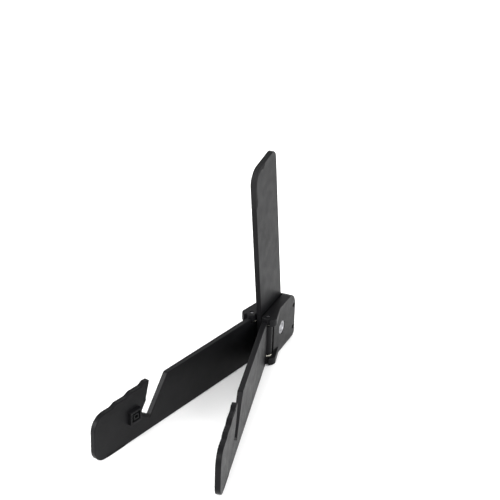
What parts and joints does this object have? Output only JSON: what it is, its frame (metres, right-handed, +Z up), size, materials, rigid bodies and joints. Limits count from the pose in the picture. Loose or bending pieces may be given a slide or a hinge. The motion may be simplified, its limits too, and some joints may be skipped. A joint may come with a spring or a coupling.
{
  "type": "tablet stand",
  "caption": "Folding stand for a tablet: slim arms open into a V and cradle its lower edge in slanted slots, while a hinged post behind them leans forward to hold its back.",
  "frame": {"origin": "on the ground, under the middle of the open stand's bounding box", "axes": "+Z up, -Y towards the front where the arms spread, +X to the right when seen from the front"},
  "size_m": [0.0666, 0.1554, 0.1176],
  "materials": {
    "black_plastic": "fine satin moulded texture",
    "catch_plastic": "smooth satin",
    "rubber": "matt",
    "steel": "fine turned",
    "nylon": "natural, smooth"
  },
  "bodies": {
    "hub": {"hub_left": "black_plastic", "hub_right": "black_plastic", "hub_screws": "steel", "hub_foot": "rubber", "post_pivot_bolt": "steel", "post_pivot_nut": "steel", "post_friction_washers": "nylon", "post_spring_washer": "steel", "left_hinge_pin": "steel", "left_hinge_washers": "nylon", "right_hinge_pin": "steel", "right_hinge_washers": "nylon"},
    "post": {"post": "black_plastic", "post_tip_pad": "rubber"},
    "left_arm": {"left_arm": "black_plastic", "left_notch_liner": "rubber", "left_foot_pad": "rubber", "left_catch_socket": "catch_plastic"},
    "right_arm": {"right_arm": "black_plastic", "right_notch_liner": "rubber", "right_foot_pad": "rubber", "right_catch_peg": "catch_plastic"}
  },
  "joints": [
    {"name": "left_arm_swing", "type": "hinge", "parent": "hub", "child": "left_arm", "pos_m": [-0.0046, 0.04436, 0.014], "axis": [0, 0, 1], "range_deg": [-16.8, 13.3]},
    {"name": "right_arm_swing", "type": "hinge", "parent": "hub", "child": "right_arm", "pos_m": [0.0046, 0.04436, 0.014], "axis": [0, 0, 1], "range_deg": [-13.3, 16.8]},
    {"name": "post_fold", "type": "hinge", "parent": "hub", "child": "post", "pos_m": [0, 0.05871, 0.014], "axis": [1, 0, 0], "range_deg": [0, 80]}
  ]
}
